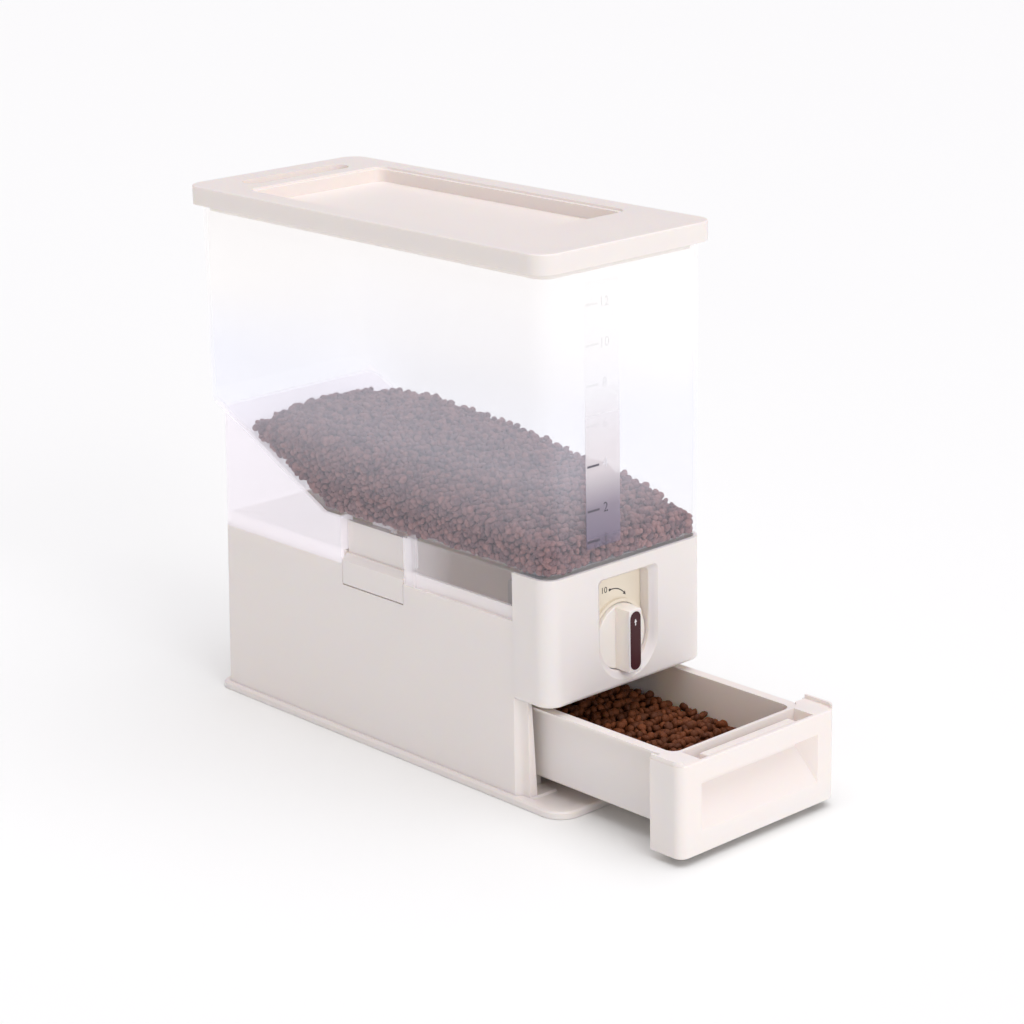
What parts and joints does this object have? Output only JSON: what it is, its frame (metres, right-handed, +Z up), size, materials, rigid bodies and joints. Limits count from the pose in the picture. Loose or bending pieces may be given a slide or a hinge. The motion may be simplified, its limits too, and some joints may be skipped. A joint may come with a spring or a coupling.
{
  "type": "pet food storage container",
  "caption": "Tall lidded food hopper with a clear tub and sloping floor on an opaque base, a turning metering dial in front and a sliding portion drawer below.",
  "frame": {"origin": "on the floor, on the underside of the base plate, below the middle of the lid", "axes": "+Z up; -Y towards the dial and the drawer; +X to the right of a person who looks at the front"},
  "size_m": [0.1544, 0.4726, 0.37],
  "materials": {
    "cream_plastic": "satin moulded",
    "clear_plastic": "clear, frosted on the skirt",
    "gauge_film": "clear film with printed ticks",
    "dial_plate_plastic": "matte",
    "maroon_plastic": "glossy",
    "inner_plastic": "moulded",
    "seal_rubber": "silicone",
    "screw_steel": "plated"
  },
  "bodies": {
    "root": {"base_housing": "cream_plastic", "base_plate": "cream_plastic", "base_plate_screws": "screw_steel", "detent_spring": "screw_steel", "dial_plate": "dial_plate_plastic", "drawer_rail_left": "inner_plastic", "drawer_rail_right": "inner_plastic", "drum_bush": "inner_plastic", "drum_housing": "inner_plastic", "drum_housing_screws": "screw_steel", "frame_screws": "screw_steel", "front_cover": "cream_plastic", "front_cover_screws": "screw_steel", "funnel_gasket": "seal_rubber", "hopper": "clear_plastic", "inlet_wipers": "seal_rubber", "latch_pin_left": "screw_steel", "latch_pin_right": "screw_steel", "level_gauge": "gauge_film", "mechanism_frame": "inner_plastic"},
    "drawer": {"drawer_box": "cream_plastic", "drawer_front": "cream_plastic"},
    "lid": {"lid": "cream_plastic", "lid_seal": "seal_rubber"},
    "dial": {"dial": "cream_plastic", "dial_inlay": "maroon_plastic", "dial_screw": "screw_steel", "drum_shaft": "screw_steel", "metering_drum": "inner_plastic"},
    "latch_left": {"latch_left": "cream_plastic"},
    "latch_right": {"latch_right": "cream_plastic"}
  },
  "joints": [
    {"name": "drawer_slide", "type": "slide", "parent": "root", "child": "drawer", "axis": [0, -1, 0], "range_m": [-0.114, 0.12]},
    {"name": "lid_lift", "type": "slide", "parent": "root", "child": "lid", "axis": [0, 0, 1], "range_m": [0, 0.05]},
    {"name": "dial_turn", "type": "hinge", "parent": "root", "child": "dial", "pos_m": [0, -0.15, 0.1037], "axis": [0, 1, 0], "continuous": true},
    {"name": "latch_left_press", "type": "hinge", "parent": "root", "child": "latch_left", "pos_m": [-0.0662, 0, 0.127], "axis": [0, -1, 0], "range_deg": [0, 7], "stiffness_Nm_per_rad": 0.5},
    {"name": "latch_right_press", "type": "hinge", "parent": "root", "child": "latch_right", "pos_m": [0.0662, 0, 0.127], "axis": [0, 1, 0], "range_deg": [0, 7], "stiffness_Nm_per_rad": 0.5}
  ]
}
